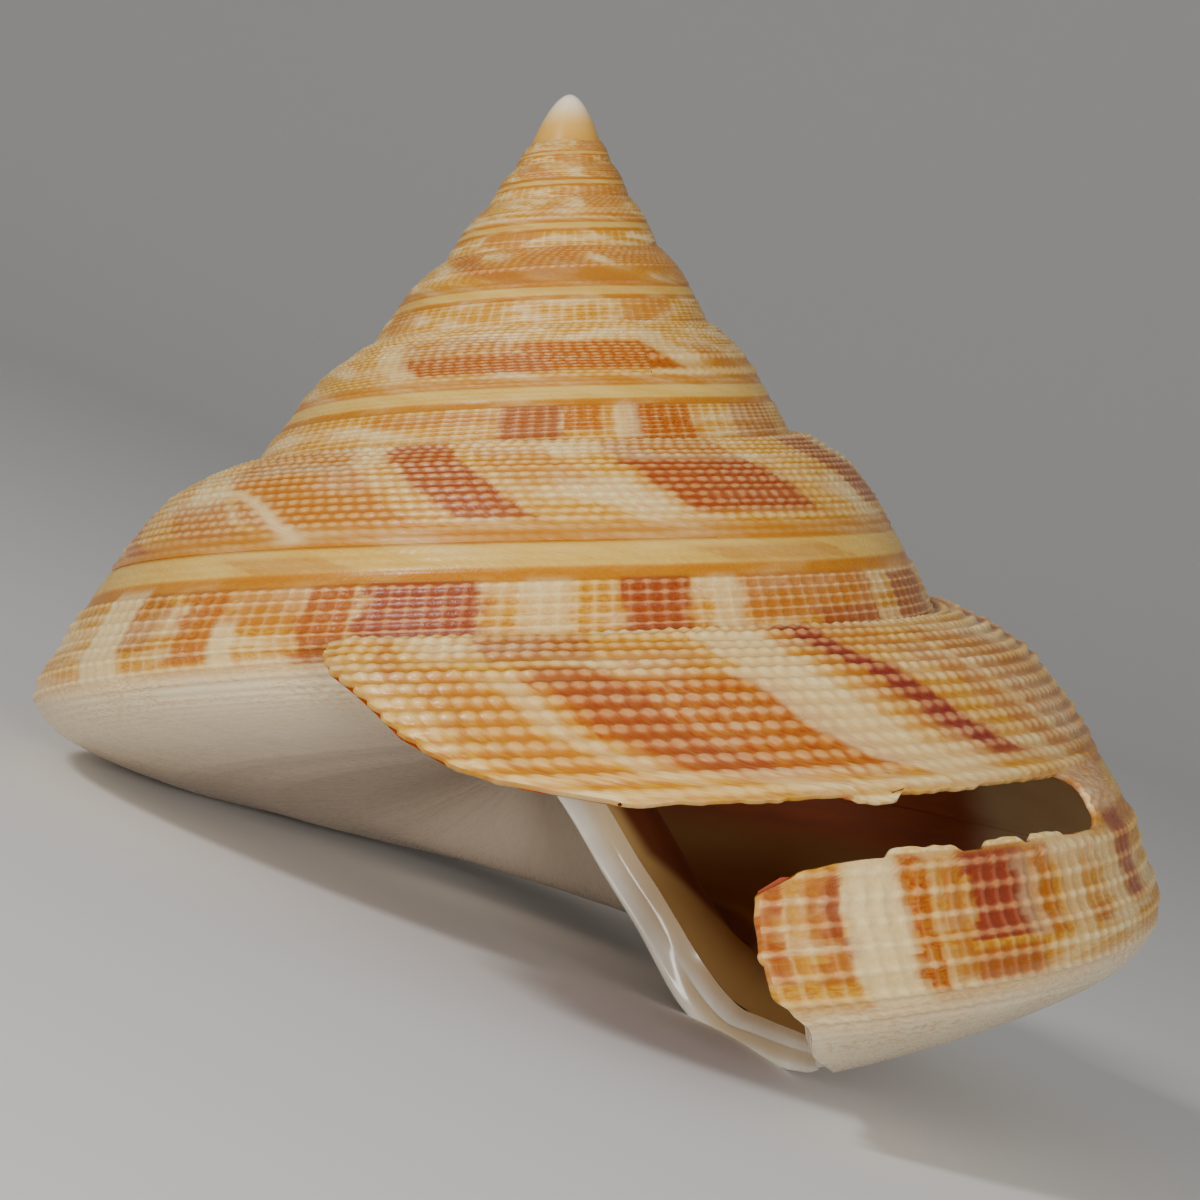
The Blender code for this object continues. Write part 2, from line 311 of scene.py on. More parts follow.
def suture(turn):
    """Radius and depth of the suture: both grow by a steady factor per turn, with a slow drift."""
    grown = np.exp(math.log(RADIUS_PER_TURN) * turn + RADIUS_DRIFT * turn**2)
    sunk = np.exp(math.log(DEPTH_PER_TURN) * turn + DEPTH_DRIFT * turn**2)
    young = 1.0 - smooth_step((turn + 6.0) / 5.0)
    return SUTURE_RADIUS * grown + TIP_RADIUS * young, SUTURE_DEPTH * sunk


def outer_section(turn, place):
    """Radius and depth of the smooth outer surface, in mm: a straight line from this turn's suture to the
    next one's, plus curves for the face and the base, and past the lowest ring a climb to the centre."""
    r0, z0 = suture(turn)
    r1, z1 = suture(turn + 1.0)
    face, base = np.clip(place, 0.0, 1.0), np.clip(place, 1.0, RING_PLACE)
    r = r0 + (r1 - r0) * face
    z = z0 + (z1 - z0) * face
    flat = 1.0 - OLD_FLATTER * smooth_step((-1.15 - turn) / 0.6)
    face_out, face_down = (smooth_curve(face, FACE_PLACE, v) for v in (FACE_OUT, FACE_DOWN))
    base_out, base_down = (smooth_curve(base, BASE_PLACE, v) for v in (BASE_OUT, BASE_DOWN))
    r = r + r0 * (flat * face_out + base_out)
    z = z + r0 * (flat * face_down + base_down)
    near = np.minimum(place, RING_PLACE)
    late = smooth_step((turn + 0.45) / 0.3)
    fuller = smooth_step((turn + 0.865) / 0.18) * smooth_step((-0.3 - turn) / 0.3)
    less, more, rim = (smooth_curve(near, KEEL_PLACE, v) for v in (KEEL_LESS, KEEL_MORE, RIM_LESS))
    r = r + r0 * (fuller * more - late * less)
    z = z + r0 * (fuller * 0.6 * more - smooth_step((turn + 0.3) / 0.25) * rim)
    inward = np.clip((place - RING_PLACE) / (2.0 - RING_PLACE), 0.0, 1.0)
    pole = smooth_step((turn - POLE_FROM) / (POLE_FULL - POLE_FROM))
    centre_r = (1.0 - pole) * EARLY_CORE * r0
    centre_z = pole * CENTRE_DEPTH + (1.0 - pole) * EARLY_CENTRE * z0
    climb = smooth_step((inward - 0.4) / 0.6)
    return r + (centre_r - r) * inward, z + (centre_z - z) * climb


def placed(turn, r, z):
    """Radius and depth turned about the shell's axis, with the apex at the origin."""
    angle = math.radians(START_ANGLE) - 2.0 * math.pi * turn
    return np.stack([r * np.cos(angle), r * np.sin(angle), -z], axis=-1)


def outer(turn, place):
    """Points of the smooth outer surface, with its lowest ring rounded off as a mean of places near it."""
    turn, place = np.broadcast_arrays(np.asarray(turn, float), np.asarray(place, float))
    if place.max() < 1.35:
        return placed(turn, *outer_section(turn, place))
    soft = 0.10 * np.exp(-(((place - RING_PLACE) / 0.10) ** 2))
    parts = [np.stack(outer_section(turn, place + k * soft)) for k in (-1.0, -0.4, 0.4, 1.0)]
    return placed(turn, *np.mean(parts, axis=0))


def unit(vector):
    return vector / np.maximum(np.linalg.norm(vector, axis=-1, keepdims=True), 1e-9)


def outward(turn, place):
    """Unit normal: the cross product of small steps along the growth and across the whorl."""
    along = outer(turn + 0.002, place) - outer(turn - 0.002, place)
    across = outer(turn, np.minimum(place + 0.004, 1.99)) - outer(turn, place - 0.004)
    return unit(np.cross(along, across))


def lip_turn(place):
    """Turn of the lip line at each place."""
    return smooth_curve(place, LIP_PLACE, LIP_TURN)


def ragged_lip(place):
    """The lip line, a little uneven: each cord reaches out, and small chips are missing."""
    above = place < SLIT_TOP
    scallop = -0.0007 * np.cos(2.0 * math.pi * cord_number(0.05, place)) * above
    chips = 0.0012 * (noise(place * 24.0, 0.0, 3.0) - 0.5) * np.where(above, 1.0, 0.5)
    return lip_turn(place) + (scallop + chips) * smooth_step((1.5 - place) / 0.1)


def stretched(turn, place):
    """Near the mouth the columns are drawn out or in, so that the last one is the lip line."""
    reach = (ragged_lip(place) - STRETCH_FROM) / (LIP_TOP - STRETCH_FROM)
    return np.where(turn > STRETCH_FROM, STRETCH_FROM + (turn - STRETCH_FROM) * reach, turn)


def slit_edge(turn, upper):
    """Place of the slit's edges along it: the upper one nearly smooth, the lower one with chips."""
    open_part = smooth_step((turn - SLIT_END - 0.004) / 0.01)
    reach = np.zeros_like(turn)
    for start, stop, far in UPPER_CHIPS if upper else LOWER_CHIPS:
        worn = far * (0.85 + 0.3 * noise(turn * 260.0, 0.0, 5.0))
        reach = np.maximum(reach, worn * window(turn, start, stop, 0.0035))
    fine = 0.005 * (noise(turn * 140.0, 0.0, 6.0) - 0.5) + 0.003 * (noise(turn * 420.0, 0.0, 8.0) - 0.5)
    if upper:
        return SLIT_TOP + (fine + reach) * open_part
    corner = 0.024 * smooth_step((turn + 0.010) / 0.03)
    return SLIT_BOTTOM + (fine + corner - reach) * open_part


def slit_end(place):
    """Turn of the slit's rounded end: a cubic to both sides of its middle."""
    return SLIT_END + 0.013 * np.abs((place - 0.612) / 0.072) ** 3


def line_turn(place):
    """The lip line without its worn corner under the slit, where growth lines stand straight."""
    straight = smooth_step((place - 0.60) / 0.07)
    return lip_turn(place) * (1.0 - straight) + lip_turn(np.maximum(place, 0.76)) * straight


def growth_of(turn, place):
    """Growth lines run along the lip line, so this stays the same along each of them."""
    return turn - line_turn(place) + LIP_TOP


def section_length():
    """Length along the last whorl's section from the suture to each place, as a share of its radius."""
    place = np.linspace(0.0, RING_PLACE, 641)
    r, z = outer_section(np.full_like(place, SECTION_TURN), place)
    steps = np.hypot(np.diff(r), np.diff(z)) / suture(SECTION_TURN)[0]
    return place, np.concatenate([[0.0], np.cumsum(steps)])


SECTION = section_length()


def length_at(place):
    """Length along the section, looked up in SECTION."""
    return np.interp(place, *SECTION)


def cord_spacing(turn, above):
    """Length from cord to cord, which grows by a steady factor per turn."""
    turn = np.minimum(turn, 0.1)
    return np.where(above, UPPER_CORD * np.exp(UPPER_GROWTH * turn), LOWER_CORD * np.exp(LOWER_GROWTH * turn))


def cord_number(turn, place):
    """Counts the spiral cords away from the band."""
    above = place < 0.61
    start = np.where(above, length_at(SLIT_TOP), length_at(SLIT_BOTTOM))
    return np.abs(length_at(place) - start) / cord_spacing(turn, above)


def bead_growth(turn, place):
    """Growth at the middle of each cord, so that its beads stand nearly upright."""
    above = place < 0.61
    middle = (np.floor(cord_number(turn, place)) + 0.5) * cord_spacing(turn, above)
    at = np.where(above, length_at(SLIT_TOP) - middle, length_at(SLIT_BOTTOM) + middle)
    level = np.interp(at, SECTION[1], SECTION[0])
    return 0.8 * growth_of(turn, level) + 0.2 * growth_of(turn, place)


def bead_number(growth, fine=1.0):
    """Counts the beads along a cord: one over the bead's length, summed, as it shrinks with growth."""
    return np.exp(BEAD_GROWTH * growth) / (BEAD_GROWTH * BEAD) * fine


def wave(number):
    """A cosine wave from 1 at whole numbers to 0 between them."""
    return 0.5 + 0.5 * np.cos(2.0 * math.pi * number)


def scar(growth, place):
    """The pale crescent of an old break: 1 on its line, and how far inside it a point is."""
    middle, level, long, high = SCAR
    along, across = (growth - middle) / long, (place - level) / high
    far = np.hypot(along, across)
    line = np.exp(-(((far - 1.0) / 0.13) ** 2)) * smooth_step((0.25 - along) / 0.5)
    return line, smooth_step((1.0 - far) / 0.2)


def relief(turn, place):
    """Height over the smooth surface, in mm, and masks for the colours. Cords and beads are cosine waves
    across and along the whorl, the band is sunk with crescents and lines, the base has fine threads."""
    growth, standing = growth_of(turn, place), bead_growth(turn, place)
    cord = cord_number(turn, place)
    each = np.floor(cord)
    size = np.exp(0.38 * np.minimum(turn, 0.0))
    crest = (1.0 - wave(cord)) ** 0.8
    wobble = 0.35 * (noise(each * 5.3, standing * 60.0, 1.0) - 0.5) + 0.3 * np.sin(each * 2.1)
    bead = wave(bead_number(standing) + wobble)
    upright = wave(bead_number(growth) + 0.2 * (noise(place * 9.0, growth * 60.0, 1.5) - 0.5)) ** 2.0
    above = smooth_step((SLIT_TOP + 0.004 - place) / 0.012)
    below = smooth_step((place - SLIT_BOTTOM - 0.002) / 0.01)
    keel = smooth_step((1.30 - low_keel(turn, place)) / 0.22)
    strength = 0.66 + 0.68 * noise(each * 0.9, growth * 14.0, 2.0)
    bead = bead * (0.55 + 0.9 * noise(each * 2.3, standing * 170.0, 2.5))
    narrow = crest**3.6
    line, inside = scar(growth, place)
    worn = (1.0 - 0.85 * line) * (1.0 - 0.45 * inside)
    near_band = 1.0 - 0.45 * smooth_step((place - 0.49) / 0.02) * smooth_step((-0.11 - turn) / 0.03)
    beaded = 0.60 * crest + 0.40 * crest**1.5 * bead
    upper = CORD_HEIGHT * beaded * strength * worn * near_band + SCAR_HEIGHT * line
    lower = LOWER_HEIGHT * (narrow * (0.60 + 0.40 * upright) + 0.24 * upright) * strength * keel
    thread = wave((length_at(place) - length_at(1.0)) / THREAD)
    base = smooth_step((place - 1.05) / 0.25) * smooth_step((1.52 - place) / 0.35)
    beads = wave(bead_number(growth, 0.8))
    threads = THREAD_HEIGHT * (thread * (0.7 + 0.3 * beads) + 0.35 * beads) * base
    band = window(place, SLIT_TOP + 0.006, SLIT_BOTTOM - 0.040, 0.014) * smooth_step((-0.125 - turn) / 0.02)
    middle = (place - 0.592) / 0.045
    moons = wave(bead_number(turn + 0.005 * middle**2, 1.5))
    lines = wave(middle * 1.5)
    groove = window(place, SLIT_TOP - 0.004, SLIT_BOTTOM, 0.010)
    sunk = groove * (-BAND_DEPTH + BAND_LINES * moons * band + BAND_LINES * lines * band + BAND_DEPTH * band)
    slit_foot = window(place, 0.50, 0.68, 0.03) * window(turn, -0.150, -0.095, 0.01)
    rough = slit_foot * (noise(turn * 300.0, place * 110.0, 9.7) - 0.5)
    narrow_lines = noise(growth * 150.0, place * 3.0, 9.0) - 0.5
    wide_lines = noise(growth * 40.0, place * 2.0, 9.5) - 0.5
    growth_lines = ROUGH_END * rough + GROWTH_LINES[0] * narrow_lines + GROWTH_LINES[1] * wide_lines
    lip = 0.25 + 0.75 * smooth_step((lip_turn(place) - turn - 0.0005) / 0.005)
    height = (upper * above + lower * below + sunk) * size * lip + growth_lines * size + threads
    net = np.maximum(narrow * (0.55 + 0.45 * upright), 0.45 * upright)
    tops = crest * above * (0.45 + 0.55 * bead) * (1.0 - line) + line + below * keel * net
    return height, tops, line, band


def carved(turn, place):
    """Outer surface moved out along its normal by its relief, with the relief's masks."""
    height, crest, healed, band = relief(turn, place)
    return outer(turn, place) + outward(turn, place) * height[..., None], crest, healed, band


def inner(turn, place):
    """Inside of the wall: the outer surface moved in by the wall, thin at the lip and slit and thick at the
    columella, and past the lowest ring a slope down to the core that the hollow winds round."""
    turn, place = np.broadcast_arrays(np.asarray(turn, float), np.asarray(place, float))
    grown = np.exp(math.log(DEPTH_PER_TURN) * np.minimum(turn, 0.0))
    near_lip = smooth_step((turn - lip_turn(place) + 0.05) / 0.05) * (place < 1.3)
    near_slit = window(place, 0.50, 0.72, 0.04) * smooth_step((turn + 0.13) / 0.03)
    thin = np.maximum(near_lip, near_slit)
    thick = smooth_step((place - 1.45) / 0.2) * smooth_step((turn + 0.25) / 0.15)
    wall = ((WALL + (COLUMELLA_WALL - WALL) * thick) * (1.0 - thin) + EDGE_WALL * thin) * grown
    moved = outer(turn, place) - outward(turn, place) * wall[..., None]
    corner = outer(turn - 1.0, CORNER_PLACE)
    near = smooth_step(place / 0.1)[..., None]
    moved = corner + (moved - corner) * near
    r0, z0 = outer_section(turn, RING_PLACE)
    inward = np.clip((place - RING_PLACE) / (2.0 - RING_PLACE), 0.0, 1.0)
    core_r = CORE_RADIUS * np.exp(math.log(RADIUS_PER_TURN) * turn)
    late = CORE_DEPTH + CORE_DROP_PER_TURN * (turn - POLE_FROM)
    early = CORE_DEPTH * np.exp(math.log(DEPTH_PER_TURN) * (turn - POLE_FROM))
    core_z = np.where(turn > POLE_FROM, late, early)
    top = z0 - wall
    climb = smooth_step((inward - 0.4) / 0.6)
    under = placed(turn, r0 + (core_r - r0) * inward, top + (core_z - top) * climb)
    return np.where((place > RING_PLACE)[..., None], under, moved)


def flames(turn, place):
    """Amounts of orange and red: the listed flames on the photographed side, and like ones elsewhere."""
    growth = growth_of(turn, place)
    each = np.floor(cord_number(turn, place))
    cell = BEAD * np.exp(-BEAD_GROWTH * growth)
    stepped = growth + 0.5 * ((np.floor(growth / cell) + 0.5) * cell - growth)
    shaky = stepped + 0.0045 * (noise(each * 3.7, growth * 50.0, 11.0) - 0.5)
    shaky = shaky + 0.0025 * (noise(place * 25.0, growth * 120.0, 12.0) - 0.5)
    orange, red = np.zeros_like(growth), np.zeros_like(growth)
    for middle, half, low, high, warm, dark in FLAMES:
        soft = min(0.004, half)
        span = window(place, low, high, 0.03)
        amount = window(shaky, middle - half, middle + half, soft) * span
        fringe = window(growth, middle - half - 0.006, middle + half + 0.006, 0.014) * span
        orange = np.maximum(orange, np.maximum(amount * warm, 0.30 * fringe * max(warm, dark)))
        red = np.maximum(red, amount * dark)
    angle = math.radians(START_ANGLE) - 2.0 * math.pi * turn
    seen = smooth_step(-np.sin(angle) * 3.0 + 0.6) * smooth_step((turn + 2.35) / 0.1)
    free = noise(shaky * FREE_FLAMES, place * 2.6, 13.0) * 0.65
    free = free + noise(shaky * FREE_FLAMES * 2.7, place * 4.0, 14.0) * 0.35
    free_orange = smooth_step((free - 0.47) / 0.12) * (0.6 + 0.4 * noise(growth * 30.0, place * 3.0, 15.0))
    free_red = smooth_step((free - 0.60) / 0.10)
    quiet = window(place, SLIT_TOP - 0.01, SLIT_BOTTOM, 0.03)
    orange = orange * seen + free_orange * (1.0 - seen) * (1.0 - 0.8 * quiet)
    red = red * seen + free_red * (1.0 - seen) * (1.0 - quiet) * smooth_step((turn + 3.2) / 1.0)
    keel = smooth_step((1.24 - low_keel(turn, place)) / 0.14)
    return orange * keel, red * keel


LEANING = (
    Matrix.Rotation(math.radians(LEAN_ABOUT_Y), 3, "Y")
    @ Matrix.Rotation(math.radians(LEAN_ABOUT_X), 3, "X")
)
OUTSIDE_FIELDS = ("growth", "place", "turn", "orange", "red", "crest", "pale", "band")
LINING_FIELDS = ("growth", "place", "turn", "depth")
EDGE_FIELDS = ("place", "across", "rope")


def in_frame(points):
    """From the shell's own axes to the row frame, in metres."""
    return (points @ np.array(LEANING).T + np.array(APEX_AT)) * MM


class Piece:
    """A mesh made of one or more grids of points, with a value of each of its fields at each point."""

    def __init__(self, name, material, names=OUTSIDE_FIELDS):
        self.name, self.material = name, material
        self.points, self.faces, self.count = [], [], 0
        self.values = {field: [] for field in names}

    def grid(self, points, flip=False, **values):
        """Adds rows and columns of points, with quads between them."""
        rows, columns = points.shape[:2]
        number = np.arange(rows * columns).reshape(rows, columns) + self.count
        a, b, c, d = number[:-1, :-1], number[1:, :-1], number[1:, 1:], number[:-1, 1:]
        quads = np.stack([a, d, c, b] if flip else [a, b, c, d], axis=-1).reshape(-1, 4)
        self.points.append(points.reshape(-1, 3))
        self.faces.append(quads)
        self.count += rows * columns
        for field, parts in self.values.items():
            value = np.broadcast_to(values.get(field, 0.0), (rows, columns))
            parts.append(np.ascontiguousarray(value, float).ravel())

    def make(self):
        """Puts the mesh in the scene, and on the part's body."""
        mesh = bpy.data.meshes.new(self.name)
        points = in_frame(np.concatenate(self.points))
        mesh.from_pydata(points, [], np.concatenate(self.faces).tolist())
        for field, parts in self.values.items():
            layer = mesh.attributes.new(field, "FLOAT", "POINT")
            layer.data.foreach_set("value", np.concatenate(parts).astype(np.float32))
        mesh.polygons.foreach_set("use_smooth", np.ones(len(mesh.polygons), bool))
        mesh.update()
        mesh.materials.append(self.material)
        piece = bpy.data.objects.new(self.name, mesh)
        bpy.context.scene.collection.objects.link(piece)
        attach(piece, "root")
        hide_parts("shell")
        return piece


def low_keel(turn, place):
    """Near the mouth the colours reach lower, so their places are counted a little higher up."""
    return place - 0.11 * smooth_step((turn + 0.12) / 0.12) * smooth_step((place - 0.95) / 0.15)


def fields(turn, place, crest=0.0, healed=0.0, band=0.0):
    """Values of the outside's fields: flames, pale stripes with the healed scar, and the relief's masks."""
    orange, red = flames(turn, place)
    growth, pale = growth_of(turn, place), np.zeros_like(orange)
    shaky = growth + 0.004 * (noise(np.floor(cord_number(turn, place)) * 3.7, growth * 50.0, 16.0) - 0.5)
    for middle, half, low, high, amount in PALE_STRIPES:
        span = window(place, low, high, 0.05) * amount
        pale = np.maximum(pale, window(shaky, middle - half, middle + half, 0.004) * span)
    return dict(
        growth=growth, place=low_keel(turn, place), turn=turn, orange=orange, red=red,
        crest=crest, pale=np.maximum(0.8 * pale, 0.6 * healed), band=band,
    )


def rounded_rim(edge, before, inside, rows=5):
    """A strip from the outer edge round to the inside edge, bulging a little past them."""
    away = unit(edge - before)
    width = np.linalg.norm(inside - edge, axis=-1, keepdims=True)
    steps = np.linspace(0.0, 1.0, rows)
    return np.stack([edge + (inside - edge) * s + away * width * 0.3 * math.sin(math.pi * s) for s in steps])


def columella_piece(material):
    """The thick glossy edge below the mouth: a rounded rope at the top, and past a small notch the basal lip,
    with a groove along it."""
    place = np.linspace(KEEL_LINE, 2.0, 460)
    turn = lip_turn(place)
    edge, before = carved(turn, place)[0], carved(turn - 0.004, place)[0]
    inside = inner(turn, place)
    away = unit(edge - before)
    width = np.linalg.norm(inside - edge, axis=-1)
    # Share of rope, a small notch where it starts, and how far the basal lip stands out
    rope = smooth_step((place - 1.79) / 0.08)
    notch = np.exp(-(((place - 1.842) / 0.020) ** 2))
    proud = outward(turn, place) * (window(place, 1.60, 1.838, 0.06) * 0.75)[:, None]
    steps = np.linspace(0.0, 1.0, 25)
    shares = (0.0, 0.12, 0.3, 0.46, 0.62, 0.8, 1.0)
    round_one = smooth_curve(steps, shares, (0.0, 0.34, 0.46, 0.26, 0.08, 0.02, 0.0))
    lipped = smooth_curve(steps, shares, (0.0, 0.16, 0.22, 0.14, 0.30, 0.20, 0.0))
    spread_out = smooth_curve(steps, (0.0, 0.10, 0.34, 0.52, 1.0), (0.0, 1.0, 0.9, 0.0, 0.0))
    fade = 0.3 + 0.7 * smooth_step((place - 1.45) / 0.12)
    rows = []
    for s, a, b, c in zip(steps, round_one, lipped, spread_out):
        bulge = (rope * a + (1.0 - rope) * b) * width * fade - 0.2 * notch * math.sin(math.pi * s)
        rows.append(edge + (inside - edge) * s + away * bulge[:, None] + proud * c)
    piece = Piece("columella", material, EDGE_FIELDS)
    piece.grid(np.stack(rows), place=place, across=steps[:, None], rope=rope)
    return piece


def columns(low, count):
    """Growth steps of a piece's columns: even back to where the lip line starts to bend them."""
    near = np.linspace(STRETCH_FROM, LIP_TOP, LIP_COLUMNS)
    return np.concatenate([np.linspace(low, STRETCH_FROM, count)[:-1], near])


def wall_piece(name, material, size, first, second, bounds_of, slit_rim=None, lip_rim=True):
    """One part of the last whorl's outer wall: rows across the section, columns along the growth,
    with rounded rims at the lip and at the slit, which is along its first (0) or last (-1) row."""
    steps = columns(-1.0, size[1])
    share = np.linspace(0.0, 1.0, size[0])[:, None]
    even = first + (second - first) * share
    turn = stretched(np.broadcast_to(steps, (size[0], len(steps))), even)
    low, high = bounds_of(turn)
    place = even + (low - first) * (1.0 - share) ** 9 + (high - second) * share**9
    points, crest, healed, band = carved(turn, place)
    piece = Piece(name, material)
    piece.grid(points, **fields(turn, place, crest, healed, band))
    inside = inner(turn, place)
    if lip_rim:
        lip = rounded_rim(points[:, -1], points[:, -3], inside[:, -1])
        piece.grid(lip, **fields(turn[:, -1], place[:, -1], crest[:, -1] * 0.4))
    if slit_rim is not None:
        part = steps > SLIT_END - 0.02
        before = 1 if slit_rim == 0 else -2
        strip = rounded_rim(points[slit_rim][part], points[before][part], inside[slit_rim][part])
        ends = fields(turn[slit_rim][part], place[slit_rim][part], crest[slit_rim][part] * 0.4)
        piece.grid(strip, flip=slit_rim == 0, **ends)
    return piece


def whole_turns(name, material, low, high, size, last):
    """A part of the spire's outer face, with as many columns to a bead on old turns as on late ones."""
    ends = np.exp(BEAD_GROWTH * np.array([low, high]))
    even = np.log(np.linspace(ends[0], ends[1], size[1])) / BEAD_GROWTH
    turn, place = np.broadcast_arrays(even[None, :], np.linspace(0.0, last, size[0])[:, None])
    points, crest, healed, band = carved(turn, place)
    piece = Piece(name, material)
    piece.grid(points, **fields(turn, place, crest, healed, band))
    return piece


def tip_piece(material):
    """The rounded first turn, as rings that close over the apex."""
    start = -TURNS + LIP_TOP
    section = outer(start, np.linspace(1.0, 0.0, 13))
    foot = np.concatenate([section, outer(np.linspace(start, start + 1.0, 81)[1:], 0.0)])
    rings = []
    up = np.linspace(0.0, 1.0, TIP_RINGS)
    for left in (1.0 - up) ** TIP_SPACING:
        wide = left**TIP_BLUNT
        height = (foot[:, 2] + TIP_DEPTH) * left - TIP_DEPTH
        rings.append(np.stack([foot[:, 0] * wide, foot[:, 1] * wide, height], axis=-1))
    piece = Piece("tip", material)
    # Growth and place of an old whorl's face, and turns that run on past the first whorl to the white tip
    up = up[:, None]
    piece.grid(np.stack(rings), flip=True, growth=-6.0, place=0.3, turn=-6.5 - up, crest=0.35 + 0.6 * up)
    return piece


def band_piece(material):
    """The band of the healed slit, up to the slit's rounded end, and its rim."""
    rows = np.linspace(SLIT_TOP - 0.006, SLIT_BOTTOM + 0.006, BAND_GRID[0])
    end = slit_end(rows) + 0.002 * (noise(rows * 130.0, 0.0, 21.0) - 0.5)
    steps = np.linspace(0.0, 1.0, BAND_GRID[1])
    turn = -1.0 + (end[:, None] + 1.0) * steps[None, :]
    place = np.broadcast_to(rows[:, None], turn.shape)
    points, crest, healed, band = carved(turn, place)
    under = (place < SLIT_TOP) | (place > SLIT_BOTTOM)
    points = points - outward(turn, place) * (0.06 * under)[..., None]
    piece = Piece("band", material)
    piece.grid(points, **fields(turn, place, crest, healed, band))
    inside = inner(turn[:, -1], rows)
    strip = rounded_rim(points[:, -1], points[:, -4], inside)
    piece.grid(strip, **fields(turn[:, -1], rows))
    return piece


def hollow_piece(material):
    """The lining of the hollow, seen through the mouth and the slit."""
    piece = Piece("hollow", material, LINING_FIELDS)
    steps = np.concatenate([np.linspace(-HOLLOW_TURNS, -1.0, 90)[:-1], columns(-1.0, 130)])

    def add(turn, place, depth):
        growth = growth_of(turn, place)
        piece.grid(inner(turn, place), flip=True, growth=growth, place=place, turn=turn, depth=depth)

    def part(rows, bounds_of):
        fractions = np.linspace(0.0, 1.0, rows)
        low, high = bounds_of(steps)
        place = low[None, :] + (high - low)[None, :] * fractions[:, None]
        turn = stretched(np.broadcast_to(steps, place.shape), place)
        low, high = bounds_of(turn)
        place = low + (high - low) * fractions[:, None]
        add(turn, place, lip_turn(place) - turn)

    part(16, lambda t: (np.zeros_like(t), slit_edge(t, True)))
    part(12, lambda t: (slit_edge(t, False), np.ones_like(t)))
    part(34, lambda t: (np.ones_like(t), 2.0 * np.ones_like(t)))
    rows = np.linspace(SLIT_TOP - 0.003, SLIT_BOTTOM + 0.003, 10)
    turn = -HOLLOW_TURNS + (slit_end(rows)[:, None] + HOLLOW_TURNS) * np.linspace(0.0, 1.0, 400)[None, :]
    add(turn, np.broadcast_to(rows[:, None], turn.shape), 1.0)
    # Blind end, and the core that the hollow winds round
    ring = inner(-HOLLOW_TURNS, np.linspace(0.0, 2.0, 60))
    back = outer(-HOLLOW_TURNS - 1.0, np.linspace(CORNER_PLACE, 2.0, 60))[::-1]
    end = np.stack([ring, 0.5 * (ring + back), back])
    piece.grid(end, growth=-HOLLOW_TURNS, place=0.5, turn=-HOLLOW_TURNS, depth=1.0)
    core_turn = stretched(steps, 2.0 * np.ones_like(steps))
    core_in, core_out = inner(core_turn, 2.0), outer(core_turn, 1.995)
    core = np.stack([core_in, 0.5 * (core_in + core_out), core_out])
    piece.grid(core, flip=True, growth=-1.0, place=2.0, turn=-1.0, depth=1.0)
    return piece


def old_base_piece(material):
    """Base of the turn before, which is the roof of the hollow."""
    along = np.linspace(-HOLLOW_TURNS - 1.0, -0.95, ROOF_GRID[1])
    turn, place = np.broadcast_arrays(along[None, :], np.linspace(1.0, 1.995, ROOF_GRID[0])[:, None])
    piece = Piece("roof", material, LINING_FIELDS)
    piece.grid(outer(turn, place), growth=growth_of(turn, place), place=place, turn=turn, depth=1.0)
    return piece


# Materials

class Nodes:
    """Short calls for the nodes of one tree."""

    def __init__(self, tree):
        self.tree = tree

    def put(self, socket, value):
        if hasattr(value, "is_output"):
            self.tree.links.new(value, socket)
        else:
            socket.default_value = value

    def field(self, name):
        node = self.tree.nodes.new("ShaderNodeAttribute")
        node.attribute_name = name
        return node.outputs["Fac"]

    def math(self, operation, a, b=0.0, clamp=False):
        node = self.tree.nodes.new("ShaderNodeMath")
        node.operation, node.use_clamp = operation, clamp
        self.put(node.inputs[0], a)
        self.put(node.inputs[1], b)
        return node.outputs[0]

    def times(self, *values):
        """The product of two or more values."""
        product = values[0]
        for value in values[1:]:
            product = self.math("MULTIPLY", product, value)
        return product

    def mix(self, amount, a, b):
        node = self.tree.nodes.new("ShaderNodeMix")
        node.data_type = "RGBA"
        self.put(node.inputs[0], amount)
        self.put(node.inputs[6], a)
        self.put(node.inputs[7], b)
        return node.outputs[2]

    def ramp(self, value, low, high, to_low=0.0, to_high=1.0):
        node = self.tree.nodes.new("ShaderNodeMapRange")
        node.interpolation_type = "SMOOTHSTEP"
        for k, v in zip(range(5), (value, low, high, to_low, to_high)):
            self.put(node.inputs[k], v)
        return node.outputs[0]

    def combine(self, x, y, z=0.0):
        node = self.tree.nodes.new("ShaderNodeCombineXYZ")
        for k, v in enumerate((x, y, z)):
            self.put(node.inputs[k], v)
        return node.outputs[0]

    def noise(self, vector, scale, detail=3.0, rough=0.55):
        node = self.tree.nodes.new("ShaderNodeTexNoise")
        for socket, value in (("Vector", vector), ("Scale", scale), ("Detail", detail), ("Roughness", rough)):
            self.put(node.inputs[socket], value)
        return node.outputs["Fac"]

    def grown(self, along, across, scale, detail=3.0, rough=0.55):
        """Noise drawn out along the growth lines, from the group that the outside and lining share."""
        node = self.tree.nodes.new("ShaderNodeGroup")
        node.node_tree = GROWN_NOISE
        for socket, value in zip(node.inputs, (along, across, scale, detail, rough)):
            socket.default_value = value
        return node.outputs["Noise"]

    def bump(self, height, distance, strength):
        node = self.tree.nodes.new("ShaderNodeBump")
        node.inputs["Distance"].default_value = distance
        node.inputs["Strength"].default_value = strength
        self.put(node.inputs["Height"], height)
        return node.outputs["Normal"]


